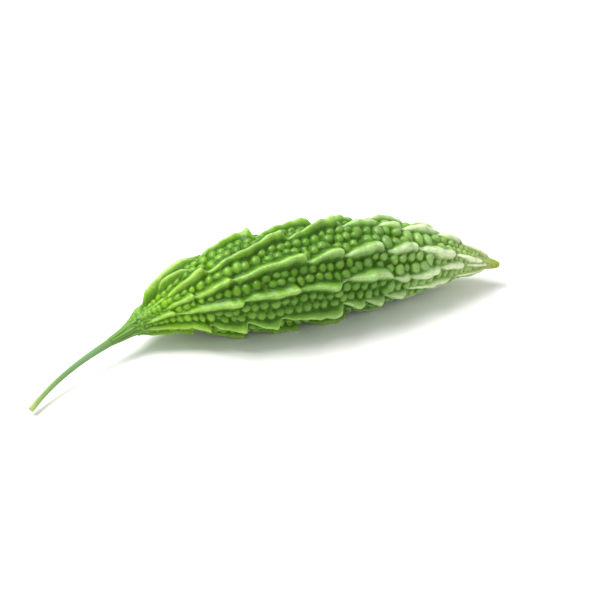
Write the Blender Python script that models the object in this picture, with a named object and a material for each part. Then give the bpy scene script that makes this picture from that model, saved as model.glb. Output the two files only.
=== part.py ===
# Bitter gourd lying on its side: one ridged, warty fruit and its cut stalk.
# Metres, +Z up, table at z = 0. The fruit runs along X with its stalk end at -X
# and its blossom end at +X. All driving sizes below are in millimetres.

import bpy
import numpy as np

MM = 0.001

# Fruit: centreline x, y, z and the radius of the bare skin under the relief
SPINE = [
    (-106, -11.0, 11.5, 2.0),
    (-98, -7.2, 12.6, 2.9),
    (-91, -4.0, 14.2, 4.7),
    (-82, -1.4, 16.0, 7.4),
    (-65, 0.8, 20.6, 14.3),
    (-48, 0.0, 23.8, 19.3),
    (-32, -0.8, 25.2, 21.2),
    (-10, -0.2, 25.7, 21.7),
    (12, 1.2, 25.2, 21.0),
    (30, 2.8, 24.2, 19.2),
    (47, 4.2, 22.3, 16.6),
    (61, 4.5, 20.0, 13.6),
    (75, 4.0, 17.2, 9.8),
    (86, 2.6, 15.0, 6.1),
    (94, 0.9, 13.5, 3.0),
    (101, -1.2, 12.4, 1.0),
]
NUB_ROUND = 1.5

# Ridges seen from the front, each a row of fins with a slow rise and a sharp drop:
# start, peak, end of the drop (along the fruit), angle at start and at peak
# (degrees from the top towards the viewer), height at the peak
RIDGE_BACK = [
    (18, 28, 31, -36, -30, 1.8),
    (33, 50, 54, -26, -16, 3.0),
    (54, 77, 82, -14, -32, 6.8),
    (82, 108, 112, -22, -33, 6.6),
    (112, 131, 135, -28, -34, 5.4),
    (135, 157, 160, -30, -34, 5.4),
    (160, 172, 176, -32, -34, 4.6),
    (176, 188, 191, -26, -24, 3.2),
    (191, 203, 206, -24, -22, 2.0),
]
RIDGE_TOP = [
    (12, 33, 36, 12, 21, 0.9),
    (36, 53, 57, 29, 22, 6.6),
    (57, 90, 95, 25, 0, 7.2),
    (95, 118, 124, 4, -13, 7.2),
    (125, 140, 143, -12, -8, 4.8),
    (143, 151, 154, -6, -4, 4.4),
    (154, 171, 174, 2, -5, 4.6),
    (174, 185, 188, -3, -4, 4.0),
    (188, 200, 205, -3, -2, 2.0),
]
RIDGE_FRONT = [
    (33, 46, 48, 52, 50, 4.4),
    (48, 63, 67, 57, 47, 5.6),
    (67, 97, 101, 45, 35, 6.8),
    (101, 116, 119, 43, 36, 6.4),
    (119, 136, 141, 42, 36, 5.4),
    (142, 152, 160, 44, 40, 4.8),
    (160, 172, 184, 41, 47, 4.6),
    (184, 194, 202, 46, 52, 2.8),
]
RIDGE_LOW = [
    (20, 33, 36, 67, 66, 4.0),
    (39, 67, 70, 76, 75, 6.2),
    (70, 92, 95, 74, 71, 6.8),
    (95, 112, 116, 72, 77, 6.0),
    (118, 140, 144, 72, 73, 5.2),
    (145, 151, 154, 86, 87, 4.0),
    (154, 168, 174, 88, 82, 4.8),
    (174, 184, 190, 77, 72, 3.6),
    (190, 200, 205, 72, 72, 1.6),
]
RIDGE_UNDER = [
    (18, 48, 52, 96, 113, 6.6),
    (52, 66, 70, 110, 115, 7.2),
    (70, 81, 86, 110, 117, 6.4),
    (86, 114, 117, 112, 115, 6.8),
    (117, 126, 129, 106, 113, 5.4),
    (129, 138, 141, 112, 117, 5.2),
    (141, 150, 154, 114, 118, 5.0),
    (154, 180, 184, 112, 116, 3.4),
    (184, 199, 205, 112, 112, 1.7),
]
SEEN_RIDGES = [RIDGE_BACK, RIDGE_TOP, RIDGE_FRONT, RIDGE_LOW, RIDGE_UNDER]

# The two ridges the fruit lies on: their middle fins reach the table
RIDGE_REST_FRONT = [
    (16, 38, 42, 152, 156, 5.4),
    (42, 66, 70, 153, 156, 6.9),
    (70, 94, 98, 153, 156, 6.9),
    (98, 121, 125, 153, 156, 7.0),
    (125, 144, 148, 152, 155, 5.2),
    (148, 164, 168, 153, 156, 4.3),
    (168, 184, 188, 152, 154, 3.0),
    (188, 200, 205, 152, 152, 1.6),
]
RIDGE_REST_BACK = [
    (20, 54, 58, 206, 203, 6.4),
    (58, 80, 84, 206, 203, 6.7),
    (84, 107, 111, 205, 203, 6.7),
    (111, 130, 134, 206, 203, 6.6),
    (134, 153, 157, 206, 203, 4.7),
    (157, 178, 182, 207, 204, 3.4),
    (182, 199, 205, 206, 206, 1.7),
]
REST_RIDGES = [RIDGE_REST_FRONT, RIDGE_REST_BACK]

# Two short bars near the stalk end that start with a blunt end, given like the fins
BLUNT_BARS = [(22.5, 50, 55, -23, -17, 7.0), (33, 46, 50, -9, 4, 5.2)]

# Ridges turned away from the front follow a seeded rule: mean angle of each
HIDDEN_RIDGE_ANGLES = (244, 286)
HIDDEN_SEED = 11

# Ridges: height left between fins, lean towards the blossom end, width, sharpness of
# the crest. Past BAR_FROM the sharp fins turn over BAR_RAMP into separate round bars.
# The neck and the blossom tip carry low ribs in place of fins.
SADDLE_SHARE = 0.2
FIN_LEAN = 0.42
KEEL_FOOT = 1.15
KEEL_SPREAD = 0.38
CREST_ROUND = 0.3
BAR_ROUND = 0.6
BAR_SADDLE = 0.12
NECK_RIB = 0.45
TIP_RIB = 0.6
BAR_FROM = 102.0
BAR_RAMP = 30.0
BAR_WIDER = 0.1
FIN_FLANK = 0.95
BAR_FLANK = 0.6
FIN_PROFILE = [(0.0, 0.0), (0.15, 0.42), (0.5, 0.69), (0.8, 0.84), (0.96, 1.03), (1.0, 0.0)]
BAR_PROFILE = [(0.0, 0.0), (0.18, 0.6), (0.4, 0.95), (0.6, 1.0), (0.86, 0.75), (1.0, 0.0)]
BLUNT_BAR = 0.2
BLUNT_PROFILE = [(0.0, 0.0), (0.03, 1.0), (0.2, 1.06), (0.7, 0.92), (0.9, 0.5), (1.0, 0.0)]

# Crests are slightly notched (share of the height, two lengths) and wander (degrees, length)
CREST_NOTCH = (0.11, 1.35, 5.3)
CREST_WANDER = ((0.7, 2.4), (0.8, 4.1))

# Under this radius of the bare skin, ridges and beads' margins shrink with it
FULL_RADIUS = 15.0

# Warts: round beads in staggered rows in each furrow, small ones filling the gaps.
# Their size changes along the fruit as BEAD_SCALE gives at the lengths BEAD_SCALE_AT.
BEAD_SEED = 23
BEAD_PITCH = 4.5
BEAD_ROW_PITCH = 5.5
BEAD_MARGIN = 0.9
BEAD_CLEARS_FIN = 0.2
BEAD_RADIUS = 3.05
BEAD_FILL = 0.6
BEAD_HEIGHT = 2.4
BEAD_ROUND = 0.55
BEAD_LIFT = 0.4
BEAD_SCALE_AT = (19, 42, 120, 148, 166, 180, 197)
BEAD_SCALE = (0.5, 0.95, 1.0, 1.15, 1.25, 0.85, 0.45)
BEAD_FROM = 17.0
BEAD_TO = 197.0
FILLER_TRIES = 30000
FILLER_RADIUS = (0.5, 1.6)
FILLER_APART = 0.74
FILLER_CLEARS_FIN = 0.3

# Stalk: centreline x, y, z and radius, from the fruit's neck to the cut tip
STALK = [
    (-106.27, -11.15, 11.45, 1.95),
    (-109.5, -12.9, 11.1, 1.85),
    (-114, -15.3, 10.5, 1.7),
    (-121, -19.4, 9.5, 1.5),
    (-131, -26.2, 7.8, 1.35),
    (-141, -34.4, 5.6, 1.3),
    (-148.5, -42.0, 3.7, 1.45),
]
STALK_RIBS = 5
STALK_RIB_DEPTH = 0.05

# The part's frame: added to every point so that the box is centred over the origin
SHIFT = np.array([24.3, 8.1, -0.55])

GRID_ALONG = 236
GRID_AROUND = 152
FRUIT_TRIANGLES = 11300
STALK_ALONG = 34
STALK_AROUND = 20


def spline(knots, values, where):
    """Smooth curve through uneven knots, one column per value."""
    knots = np.asarray(knots, float)
    values = np.asarray(values, float)
    slopes = np.gradient(values, knots, axis=0)
    left = np.clip(np.searchsorted(knots, where, side="right") - 1, 0, len(knots) - 2)
    gap = (knots[left + 1] - knots[left])[:, None]
    t = (where - knots[left])[:, None] / gap
    start = (2 * t**3 - 3 * t**2 + 1) * values[left]
    leave = (t**3 - 2 * t**2 + t) * gap * slopes[left]
    end = (3 * t**2 - 2 * t**3) * values[left + 1]
    arrive = (t**3 - t**2) * gap * slopes[left + 1]
    return start + leave + end + arrive


class Line:
    """Centreline with a radius, looked up by the length along it."""

    def __init__(self, rows):
        rows = np.asarray(rows, float)
        steps = np.linalg.norm(np.diff(rows[:, :3], axis=0), axis=1)
        chord = np.concatenate([[0.0], np.cumsum(steps)])
        self.rows = spline(chord, rows, np.linspace(0.0, chord[-1], 4001))
        steps = np.linalg.norm(np.diff(self.rows[:, :3], axis=0), axis=1)
        self.arc = np.concatenate([[0.0], np.cumsum(steps)])
        self.length = self.arc[-1]

    def centre(self, along):
        return np.stack([np.interp(along, self.arc, self.rows[:, i]) for i in range(3)], -1)

    def radius(self, along):
        return np.interp(along, self.arc, self.rows[:, 3])

    def axes(self, along):
        """Unit vectors along the line, to the side (-Y) and up."""
        ahead = self.centre(np.clip(along + 1.5, 0.0, self.length))
        behind = self.centre(np.clip(along - 1.5, 0.0, self.length))
        run = ahead - behind
        run /= np.linalg.norm(run, axis=-1, keepdims=True)
        side = np.cross(run, np.array([0.0, 0.0, 1.0]))
        side /= np.linalg.norm(side, axis=-1, keepdims=True)
        return run, side, np.cross(side, run)


def hidden_ridge(angle, rng):
    """Fins of a ridge on the far side: shorter and lower towards the blossom end."""
    fins = []
    start = rng.uniform(14.0, 24.0)
    while start < 190.0:
        size = rng.uniform(20.0, 32.0) if start < 115.0 else rng.uniform(11.0, 22.0)
        peak = min(start + size, 199.0)
        height = np.interp(peak, [30, 60, 115, 140, 180, 199], [5.2, 6.5, 6.4, 5.0, 3.6, 1.7])
        slant = rng.uniform(-5.0, 5.0)
        height *= rng.uniform(0.94, 1.04)
        fins.append((start, peak, peak + 4.0, angle - slant, angle + slant, height))
        start = peak + rng.uniform(3.0, 5.0)
    return fins


def all_ridges():
    rng = np.random.default_rng(HIDDEN_SEED)
    ridges = SEEN_RIDGES + REST_RIDGES
    ridges += [hidden_ridge(angle, rng) for angle in HIDDEN_RIDGE_ANGLES]
    return ridges


def smoothed(values, reach):
    """Running average over a window of the given number of samples, twice."""
    kernel = np.ones(reach) / reach
    for _ in range(2):
        padded = np.pad(values, reach // 2, mode="edge")
        values = np.convolve(padded, kernel, mode="valid")[:len(values)]
    return values


def fin_heights(start, peak, drop, top):
    """Lengths and heights along one fin: a slow rise and a sharp drop, or a rounded bar."""
    bar = float(np.clip((peak - BAR_FROM) / BAR_RAMP, 0.0, 1.0))
    low = (SADDLE_SHARE + (BAR_SADDLE - SADDLE_SHARE) * bar) * top
    fin_at = [start + share * (peak - start) / FIN_PROFILE[-2][0] for share, _ in FIN_PROFILE[:-1]]
    bar_at = [start + share * (drop - start) for share, _ in BAR_PROFILE[:-1]]
    at = [a + bar * (b - a) for a, b in zip(fin_at, bar_at)] + [drop]
    rise = [a + bar * (b - a) for (_, a), (_, b) in zip(FIN_PROFILE, BAR_PROFILE)]
    return at, [low + share * (top - low) for share in rise]


def crest_curves(fins, length, wave):
    """Angle (degrees) and height of one ridge's crest, sampled each 0.25 mm."""
    along = np.arange(0.0, length + 0.25, 0.25)
    at_height = [0.0, 6.0, fins[0][0] - 2.0]
    height = [0.1, NECK_RIB, NECK_RIB]
    at_angle = []
    angle = []
    for start, peak, drop, angle_start, angle_peak, top in fins:
        at, tall = fin_heights(start, peak, drop, top)
        at_height += at
        height += tall
        at_angle += [start + 1.0, peak]
        angle += [angle_start, angle_peak]
    at_height += [length - 4.0, length]
    height += [TIP_RIB, 0.5 * TIP_RIB]
    heights = smoothed(np.interp(along, at_height, height), 5)
    notch, fine, coarse = CREST_NOTCH
    heights *= 1.0 + notch * np.sin(along / fine + 3.0 * wave) * np.sin(along / coarse + wave)
    angles = smoothed(np.interp(along, at_angle, angle), 13)
    for turn, reach in CREST_WANDER:
        angles += turn * np.sin(along / reach + wave)
    return along, angles, heights


def blunt_curves(bar, length):
    """The same for a short bar that starts with a blunt end."""
    along = np.arange(0.0, length + 0.25, 0.25)
    start, peak, drop, angle_start, angle_peak, top = bar
    at = [start + share * (drop - start) for share, _ in BLUNT_PROFILE]
    heights = smoothed(np.interp(along, at, [share * top for _, share in BLUNT_PROFILE]), 5)
    return along, np.interp(along, [start, peak], [angle_start, angle_peak]), heights


def ridge_tables(length):
    return [crest_curves(fins, length, 1.7 * i) for i, fins in enumerate(all_ridges())]


def blunt_tables(length):
    return [blunt_curves(bar, length) for bar in BLUNT_BARS]


def crest_at(table, where):
    """Angle in radians and height of a crest at lengths along the fruit."""
    along, angles, heights = table
    return np.radians(np.interp(where, along, angles)), np.interp(where, along, heights)


def sideways(angle, centre, radius):
    """Distance over the skin from a crest, in millimetres."""
    turn = (angle - centre + np.pi) % (2.0 * np.pi) - np.pi
    return turn * radius


def end_fade(along):
    """Beads are small at the neck, largest before the blossom end, and shrink to the nub."""
    return np.interp(along, BEAD_SCALE_AT, BEAD_SCALE)


def furrow_room(line, left, right, spot):
    """Start and width (radians) of the strip between two crests that beads can fill."""
    radius = float(line.radius(spot))
    first, left_height = crest_at(left, spot)
    last, right_height = crest_at(right, spot)
    small = min(1.0, radius / FULL_RADIUS)
    start = (BEAD_MARGIN + BEAD_CLEARS_FIN * left_height) * small / radius
    end = (BEAD_MARGIN + BEAD_CLEARS_FIN * right_height) * small / radius
    return first + start, (last - first) % (2.0 * np.pi) - start - end


def main_beads(line, tables, rng):
    """Rows of large beads that fill each furrow: along, angle, length, height, width."""
    beads = []
    order = sorted(tables, key=lambda table: crest_at(table, 100.0)[0] % (2.0 * np.pi))
    for number, left in enumerate(order):
        right = order[(number + 1) % len(order)]
        place = BEAD_FROM + rng.uniform(0.0, 3.0)
        while place < BEAD_TO:
            scale = float(end_fade(place))
            room = furrow_room(line, left, right, place)[1] * float(line.radius(place))
            rows = max(1, int(room / (BEAD_ROW_PITCH * scale) + 0.55))
            for row in range(rows):
                spot = place + ((row % 2) * 0.5 * BEAD_PITCH + rng.uniform(-0.5, 0.5)) * scale
                first, width = furrow_room(line, left, right, spot)
                angle = first + width * ((row + 0.5) / rows + rng.uniform(-0.1, 0.1) / rows)
                room = width * float(line.radius(spot)) / rows
                long = BEAD_RADIUS * scale * rng.uniform(0.68, 0.94)
                wide = np.clip(BEAD_FILL * room * rng.uniform(0.75, 1.08), 0.9 * long, 1.35 * long)
                tall = BEAD_HEIGHT * scale * rng.uniform(0.9, 1.1) * (0.4 + 0.25 * long)
                if room * rows > 2.0 * scale and spot < BEAD_TO:
                    beads.append((spot, float(angle), long, tall, wide))
            place += BEAD_PITCH * scale * rng.uniform(0.94, 1.06)
    return beads


def filler_beads(line, tables, beads, rng):
    """Small beads wherever a gap between the large ones and the crests has room."""
    count = len(beads)
    store = np.zeros((count + FILLER_TRIES, 5))
    store[:count] = np.array(beads)
    for _ in range(FILLER_TRIES):
        spot = rng.uniform(BEAD_FROM - 3.0, BEAD_TO + 2.0)
        angle = rng.uniform(0.0, 2.0 * np.pi)
        size = rng.uniform(*FILLER_RADIUS) * float(end_fade(spot))**0.5
        radius = float(line.radius(spot))
        near = store[:count]
        across = sideways(angle, near[:, 1], radius)
        apart = np.hypot((near[:, 0] - spot) / (near[:, 2] + size), across / (near[:, 4] + size))
        if np.any(apart < FILLER_APART):
            continue
        clear = True
        for table in tables:
            crest, height = crest_at(table, spot)
            if abs(float(sideways(angle, crest, radius))) < FILLER_CLEARS_FIN * height:
                clear = False
        if clear:
            store[count] = (spot, angle, size, size * 0.9, size)
            count += 1
    return store[:count]


def all_beads(fruit, tables):
    rng = np.random.default_rng(BEAD_SEED)
    return filler_beads(fruit, tables, main_beads(fruit, tables, rng), rng)


def keel_relief(line, tables, along, angle, blunt):
    """Height of the ridges over the skin on a grid of lengths and angles."""
    radius = line.radius(along)[:, None]
    scale = np.clip(radius / FULL_RADIUS, 0.3, 1.0)
    bar = np.clip((along[:, None] - BAR_FROM) / BAR_RAMP, blunt, 1.0)
    power = FIN_FLANK + (BAR_FLANK - FIN_FLANK) * bar
    relief = np.zeros((len(along), len(angle)))
    for table in tables:
        crest, height = crest_at(table, along)
        half = (KEEL_FOOT + KEEL_SPREAD * height[:, None] + BAR_WIDER * bar) * scale
        blunt_top = CREST_ROUND + BAR_ROUND * bar
        away = np.hypot(sideways(angle[None, :], crest[:, None], radius), blunt_top) - blunt_top
        near = np.clip(1.0 - away / half, 0.0, 1.0)
        relief = np.maximum(relief, height[:, None] * near**power)
    return relief


def bead_relief(line, beads, along, angle, keel):
    """Height of the domes over the skin on the same grid, lifted a little on a ridge's foot."""
    relief = np.zeros((len(along), len(angle)))
    radius = line.radius(along)
    for spot, turn, long, tall, wide in beads:
        rows = np.nonzero(np.abs(along - spot) < long)[0]
        if not len(rows):
            continue
        across = sideways(angle[None, :], turn, radius[rows][:, None])
        down = (along[rows] - spot)[:, None]
        share = (down / long)**2 + (across / wide)**2
        foot = keel[np.argmin(np.abs(along - spot)), np.argmin(np.abs(sideways(angle, turn, 1.0)))]
        dome = (tall + BEAD_LIFT * min(foot, 1.2)) * np.clip(1.0 - share, 0.0, 1.0)**BEAD_ROUND
        relief[rows] = np.maximum(relief[rows], dome)
    return relief


def fruit_grid(rings, around):
    """Points of the fruit's skin with its relief: one ring per length, in metres."""
    fruit = Line(SPINE)
    tables = ridge_tables(fruit.length)
    beads = all_beads(fruit, tables)
    along = np.linspace(0.0, fruit.length, rings)
    angle = np.linspace(0.0, 2.0 * np.pi, around, endpoint=False)
    keel = keel_relief(fruit, tables, along, angle, 0.0)
    keel = np.maximum(keel, keel_relief(fruit, blunt_tables(fruit.length), along, angle, BLUNT_BAR))
    relief = np.maximum(keel, bead_relief(fruit, beads, along, angle, keel))
    run, side, up = fruit.axes(along)
    nub = np.clip((along - (fruit.length - NUB_ROUND)) / NUB_ROUND, 0.0, 1.0)
    round_off = np.sqrt(1.0 - nub**2)
    out = np.cos(angle)[None, :, None] * up[:, None, :] + np.sin(angle)[None, :, None] * side[:, None, :]
    size = ((fruit.radius(along)[:, None] + relief) * round_off[:, None])[:, :, None]
    lean = (FIN_LEAN * keel * round_off[:, None])[:, :, None]
    points = fruit.centre(along)[:, None, :] + size * out + lean * run[:, None, :]
    return (points + SHIFT) * MM


def tube_grid(rows, rings, around):
    """Points of the stalk: a ribbed tube along its own line, in metres."""
    stalk = Line(rows)
    along = np.linspace(0.0, stalk.length, rings)
    angle = np.linspace(0.0, 2.0 * np.pi, around, endpoint=False)
    run, side, up = stalk.axes(along)
    out = np.cos(angle)[None, :, None] * up[:, None, :] + np.sin(angle)[None, :, None] * side[:, None, :]
    ribs = 1.0 + STALK_RIB_DEPTH * np.cos(STALK_RIBS * angle)
    size = stalk.radius(along)[:, None, None] * ribs[None, :, None]
    return (stalk.centre(along)[:, None, :] + size * out + SHIFT) * MM


def closed_mesh(name, grid, pole):
    """Quads between rings, a flat cap at the first ring, a cap or a point at the last."""
    rings, around = grid.shape[:2]
    if pole:
        rings -= 1
    points = [tuple(p) for p in grid[:rings].reshape(-1, 3)]
    first = len(points)
    points.append(tuple(grid[0].mean(axis=0)))
    points.append(tuple(grid[-1].mean(axis=0)))
    faces = []
    for ring in range(rings - 1):
        for step in range(around):
            here = ring * around + step
            beside = ring * around + (step + 1) % around
            faces.append((here, beside, beside + around, here + around))
    last = (rings - 1) * around
    for step in range(around):
        beside = (step + 1) % around
        faces.append((first, beside, step))
        faces.append((first + 1, last + step, last + beside))
    mesh = bpy.data.meshes.new(name)
    mesh.from_pydata(points, [], faces)
    mesh.validate()
    mesh.update()
    return mesh


def linear(value):
    """One channel of an sRGB colour turned into a linear value."""
    value /= 255.0
    return value / 12.92 if value <= 0.04045 else ((value + 0.055) / 1.055)**2.4


def material(name, colour, roughness):
    made = bpy.data.materials.new(name)
    made.use_nodes = True
    shader = made.node_tree.nodes["Principled BSDF"]
    channels = [linear(int(colour[i:i + 2], 16)) for i in (0, 2, 4)]
    shader.inputs["Base Color"].default_value = (*channels, 1.0)
    shader.inputs["Roughness"].default_value = roughness
    made.diffuse_color = (*channels, 1.0)
    return made


def add_object(name, mesh, look):
    thing = bpy.data.objects.new(name, mesh)
    bpy.context.scene.collection.objects.link(thing)
    mesh.materials.append(look)
    mesh.polygons.foreach_set("use_smooth", [True] * len(mesh.polygons))
    return thing


def table_cutter():
    """Slab under the table that leaves small flat resting spots on the lowest fins."""
    mesh = bpy.data.meshes.new("table_cutter")
    wide, deep, thick = 0.2, 0.08, 0.02
    corners = [(x, y, z) for z in (-thick, 0.0) for y in (-deep, deep) for x in (-wide, wide)]
    faces = [(0, 2, 3, 1), (4, 5, 7, 6), (0, 1, 5, 4), (2, 6, 7, 3), (0, 4, 6, 2), (1, 3, 7, 5)]
    mesh.from_pydata(corners, [], faces)
    cutter = bpy.data.objects.new("table_cutter", mesh)
    bpy.context.scene.collection.objects.link(cutter)
    cutter.hide_render = True
    cutter.display_type = "WIRE"
    return cutter


def make_fruit():
    mesh = closed_mesh("fruit", fruit_grid(GRID_ALONG, GRID_AROUND), True)
    fruit = add_object("fruit", mesh, material("gourd skin", "6f9f3c", 0.4))
    triangles = 2 * GRID_AROUND * (GRID_ALONG - 1)
    thin = fruit.modifiers.new("thin out", "DECIMATE")
    thin.ratio = FRUIT_TRIANGLES / triangles
    rest = fruit.modifiers.new("rest on table", "BOOLEAN")
    rest.operation = "DIFFERENCE"
    rest.solver = "EXACT"
    rest.object = table_cutter()
    return fruit


def make_stalk():
    mesh = closed_mesh("stalk", tube_grid(STALK, STALK_ALONG, STALK_AROUND), False)
    return add_object("stalk", mesh, material("gourd stalk", "7b9a5e", 0.5))


def main():
    for old in list(bpy.data.objects):
        bpy.data.objects.remove(old, do_unlink=True)
    make_fruit()
    make_stalk()


main()
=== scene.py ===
# Bitter gourd lying on a pale table, seen from above its front left.
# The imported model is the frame; the fruit and its stalk replace their plain solids.

import math

import bpy
import numpy as np
from mathutils import Matrix, Vector


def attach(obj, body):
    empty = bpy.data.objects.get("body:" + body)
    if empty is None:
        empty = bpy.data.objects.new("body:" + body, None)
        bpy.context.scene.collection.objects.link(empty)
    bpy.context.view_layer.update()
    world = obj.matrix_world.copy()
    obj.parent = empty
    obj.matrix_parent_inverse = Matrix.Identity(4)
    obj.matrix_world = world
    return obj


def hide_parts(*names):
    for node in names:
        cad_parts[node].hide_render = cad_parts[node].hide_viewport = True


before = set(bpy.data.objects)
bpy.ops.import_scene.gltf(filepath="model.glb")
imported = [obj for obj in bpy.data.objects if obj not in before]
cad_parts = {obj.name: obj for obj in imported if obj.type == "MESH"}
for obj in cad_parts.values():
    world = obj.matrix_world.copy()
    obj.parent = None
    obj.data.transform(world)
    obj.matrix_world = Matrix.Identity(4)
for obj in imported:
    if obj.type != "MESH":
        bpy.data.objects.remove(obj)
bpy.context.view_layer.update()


# Camera: a long lens about 0.7 m away, 35 degrees above the table and turned 16 degrees
# towards the stalk end, so that the fruit climbs to the right across the picture.
MM = 0.001
CAMERA_TURN = math.radians(-16.0)
CAMERA_HEIGHT = math.radians(35.0)
CAMERA_DISTANCE = 708.3 * MM
CAMERA_TARGET = Vector((15.4, 1.7, 14.2)) * MM
CAMERA_LENS = 85.0
CAMERA_SENSOR = 36.0
CAMERA_NEAREST = 0.01


def add_object(name, data):
    """Adds an object with the given data to the scene."""
    thing = bpy.data.objects.new(name, data)
    bpy.context.scene.collection.objects.link(thing)
    return thing


towards_camera = Vector((
    math.sin(CAMERA_TURN) * math.cos(CAMERA_HEIGHT),
    -math.cos(CAMERA_TURN) * math.cos(CAMERA_HEIGHT),
    math.sin(CAMERA_HEIGHT),
))
camera_right = Vector((math.cos(CAMERA_TURN), math.sin(CAMERA_TURN), 0.0))
camera_up = towards_camera.cross(camera_right)
camera_data = bpy.data.cameras.new("camera")
camera_data.lens = CAMERA_LENS
camera_data.sensor_width = CAMERA_SENSOR
camera_data.clip_start = CAMERA_NEAREST
camera = add_object("camera", camera_data)
camera.matrix_world = Matrix((
    (camera_right.x, camera_up.x, towards_camera.x, 0.0),
    (camera_right.y, camera_up.y, towards_camera.y, 0.0),
    (camera_right.z, camera_up.z, towards_camera.z, 0.0),
    (0.0, 0.0, 0.0, 1.0),
))
camera.location = CAMERA_TARGET + towards_camera * CAMERA_DISTANCE
bpy.context.scene.camera = camera


# Fruit: one grown body, a spindle with nine rows of fins from stalk to blossom end and
# round warts packed in the furrows between them. Skin, fins and warts are one surface,
# raised from the spindle by the same rules and seeds as the solid that it replaces.

# Spindle, from the neck to the nub: x, y, z and radius in millimetres
SPINE = [
    (-106, -11.0, 11.5, 2.0),
    (-98, -7.2, 12.6, 2.9),
    (-91, -4.0, 14.2, 4.7),
    (-82, -1.4, 16.0, 7.4),
    (-65, 0.8, 20.6, 14.3),
    (-48, 0.0, 23.8, 19.3),
    (-32, -0.8, 25.2, 21.2),
    (-10, -0.2, 25.7, 21.7),
    (12, 1.2, 25.2, 21.0),
    (30, 2.8, 24.2, 19.2),
    (47, 4.2, 22.3, 16.6),
    (61, 4.5, 20.0, 13.6),
    (75, 4.0, 17.2, 9.8),
    (86, 2.6, 15.0, 6.1),
    (94, 0.9, 13.5, 3.0),
    (101, -1.2, 12.4, 1.0),
]
FULL_RADIUS = 15.0
LINE_SAMPLES = 4001
LINE_AHEAD = 1.5


def spline(knots, values, where):
    """Smooth curve through uneven knots, one column per value."""
    knots = np.asarray(knots, float)
    values = np.asarray(values, float)
    slopes = np.gradient(values, knots, axis=0)
    left = np.clip(np.searchsorted(knots, where, side="right") - 1, 0, len(knots) - 2)
    gap = (knots[left + 1] - knots[left])[:, None]
    t = (where - knots[left])[:, None] / gap
    start = (2 * t**3 - 3 * t**2 + 1) * values[left]
    leave = (t**3 - 2 * t**2 + t) * gap * slopes[left]
    end = (3 * t**2 - 2 * t**3) * values[left + 1]
    arrive = (t**3 - t**2) * gap * slopes[left + 1]
    return start + leave + end + arrive


def lengths_along(points):
    """Length run from the first point to each of them."""
    steps = np.linalg.norm(np.diff(points, axis=0), axis=1)
    return np.concatenate([[0.0], np.cumsum(steps)])


class Line:
    """Centreline with a radius, looked up by the length along it."""

    def __init__(self, rows):
        rows = np.asarray(rows, float)
        chord = lengths_along(rows[:, :3])
        self.rows = spline(chord, rows, np.linspace(0.0, chord[-1], LINE_SAMPLES))
        self.arc = lengths_along(self.rows[:, :3])
        self.length = self.arc[-1]

    def centre(self, along):
        return np.stack([np.interp(along, self.arc, self.rows[:, i]) for i in range(3)], -1)

    def radius(self, along):
        return np.interp(along, self.arc, self.rows[:, 3])

    def axes(self, along):
        """Unit vectors along the line, to the side (-Y) and up."""
        ahead = self.centre(np.clip(along + LINE_AHEAD, 0.0, self.length))
        behind = self.centre(np.clip(along - LINE_AHEAD, 0.0, self.length))
        run = ahead - behind
        run /= np.linalg.norm(run, axis=-1, keepdims=True)
        side = np.cross(run, np.array([0.0, 0.0, 1.0]))
        side /= np.linalg.norm(side, axis=-1, keepdims=True)
        return run, side, np.cross(side, run)


fruit_line = Line(SPINE)

# Fins of each ridge: start, peak, end of the drop (mm along the fruit), angle at start
# and at peak (degrees from the top towards the viewer), height at the peak (mm)
RIDGE_BACK = [
    (18, 28, 31, -36, -30, 1.8),
    (33, 50, 54, -26, -16, 3.0),
    (54, 77, 82, -14, -32, 6.8),
    (82, 108, 112, -22, -33, 6.6),
    (112, 131, 135, -28, -34, 5.4),
    (135, 157, 160, -30, -34, 5.4),
    (160, 172, 176, -32, -34, 4.6),
    (176, 188, 191, -26, -24, 3.2),
    (191, 203, 206, -24, -22, 2.0),
]
RIDGE_TOP = [
    (12, 33, 36, 12, 21, 0.9),
    (36, 53, 57, 29, 22, 6.6),
    (57, 90, 95, 25, 0, 7.2),
    (95, 118, 124, 4, -13, 7.2),
    (125, 140, 143, -12, -8, 4.8),
    (143, 151, 154, -6, -4, 4.4),
    (154, 171, 174, 2, -5, 4.6),
    (174, 185, 188, -3, -4, 4.0),
    (188, 200, 205, -3, -2, 2.0),
]
RIDGE_FRONT = [
    (33, 46, 48, 52, 50, 4.4),
    (48, 63, 67, 57, 47, 5.6),
    (67, 97, 101, 45, 35, 6.8),
    (101, 116, 119, 43, 36, 6.4),
    (119, 136, 141, 42, 36, 5.4),
    (142, 152, 160, 44, 40, 4.8),
    (160, 172, 184, 41, 47, 4.6),
    (184, 194, 202, 46, 52, 2.8),
]
RIDGE_LOW = [
    (20, 33, 36, 67, 66, 4.0),
    (39, 67, 70, 76, 75, 6.2),
    (70, 92, 95, 74, 71, 6.8),
    (95, 112, 116, 72, 77, 6.0),
    (118, 140, 144, 72, 73, 5.2),
    (145, 151, 154, 86, 87, 4.0),
    (154, 168, 174, 88, 82, 4.8),
    (174, 184, 190, 77, 72, 3.6),
    (190, 200, 205, 72, 72, 1.6),
]
RIDGE_UNDER = [
    (18, 48, 52, 96, 113, 6.6),
    (52, 66, 70, 110, 115, 7.2),
    (70, 81, 86, 110, 117, 6.4),
    (86, 114, 117, 112, 115, 6.8),
    (117, 126, 129, 106, 113, 5.4),
    (129, 138, 141, 112, 117, 5.2),
    (141, 150, 154, 114, 118, 5.0),
    (154, 180, 184, 112, 116, 3.4),
    (184, 199, 205, 112, 112, 1.7),
]
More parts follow.
